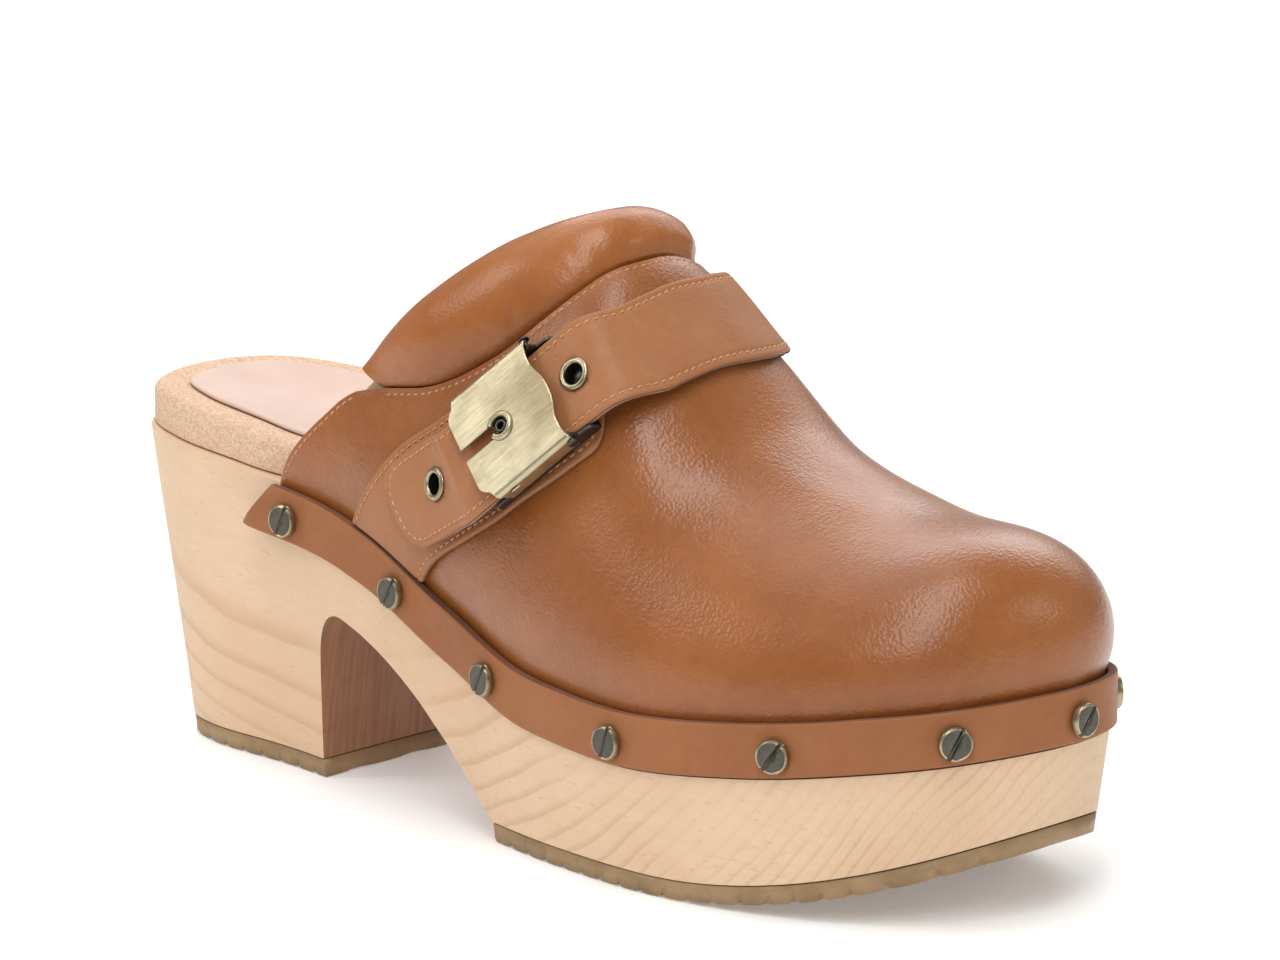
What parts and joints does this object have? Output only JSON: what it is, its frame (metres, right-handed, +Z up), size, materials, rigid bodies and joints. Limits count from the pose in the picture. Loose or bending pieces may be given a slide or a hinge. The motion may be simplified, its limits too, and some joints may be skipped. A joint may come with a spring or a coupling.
{
  "type": "wooden platform clog",
  "caption": "Backless platform clog with carved wood sole and heel, padded leather upper, screwed-on welt and an instep strap with a hinged plate buckle.",
  "frame": {"origin": "centre of the clog's box, on the floor", "axes": "+X from heel to toe, +Z up, -Y the outer side of the right foot"},
  "size_m": [0.265, 0.1006, 0.1383],
  "materials": {
    "wood": "lightly sanded pale hardwood",
    "outsole_rubber": "amber gum rubber",
    "cork": "fine agglomerated cork, matte",
    "lining_leather": "soft natural leather",
    "upper_leather": "smooth tan leather, light polish",
    "interlining": "stiffened cloth",
    "foam": "soft foam",
    "antique_brass": "brushed antique brass",
    "dark_metal": "dark bronze plating"
  },
  "bodies": {
    "clog": {"wood_platform": "wood", "heel_outsole": "outsole_rubber", "forefoot_outsole": "outsole_rubber", "cork_footbed": "cork", "sock_liner": "lining_leather", "vamp": "upper_leather", "vamp_interlining": "interlining", "toe_puff": "interlining", "vamp_lining": "lining_leather", "collar_cover": "upper_leather", "collar_padding": "foam", "buckle_tab": "upper_leather", "strap": "upper_leather", "strap_backing": "lining_leather", "strap_eyelet_end": "antique_brass", "strap_eyelet_peg": "antique_brass", "strap_eyelet_upper": "antique_brass", "buckle_base": "dark_metal", "buckle_peg": "dark_metal", "buckle_rivet_upper": "dark_metal", "buckle_rivet_lower": "dark_metal", "buckle_pivot_upper": "dark_metal", "buckle_pivot_lower": "dark_metal", "welt": "upper_leather", "welt_screw_01": "dark_metal", "welt_screw_02": "dark_metal", "welt_screw_03": "dark_metal", "welt_screw_04": "dark_metal", "welt_screw_05": "dark_metal", "welt_screw_06": "dark_metal", "welt_screw_07": "dark_metal", "welt_screw_08": "dark_metal", "welt_screw_09": "dark_metal", "welt_screw_10": "dark_metal", "welt_screw_11": "dark_metal", "welt_screw_12": "dark_metal", "welt_screw_13": "dark_metal"},
    "buckle_plate": {"buckle_cover": "antique_brass"}
  },
  "joints": [
    {"name": "buckle_cover_hinge", "type": "hinge", "parent": "clog", "child": "buckle_plate", "pos_m": [0.01959, -0.03813, 0.10494], "axis": [-0.7368, 0.2506, 0.628], "range_deg": [0, 90]}
  ]
}
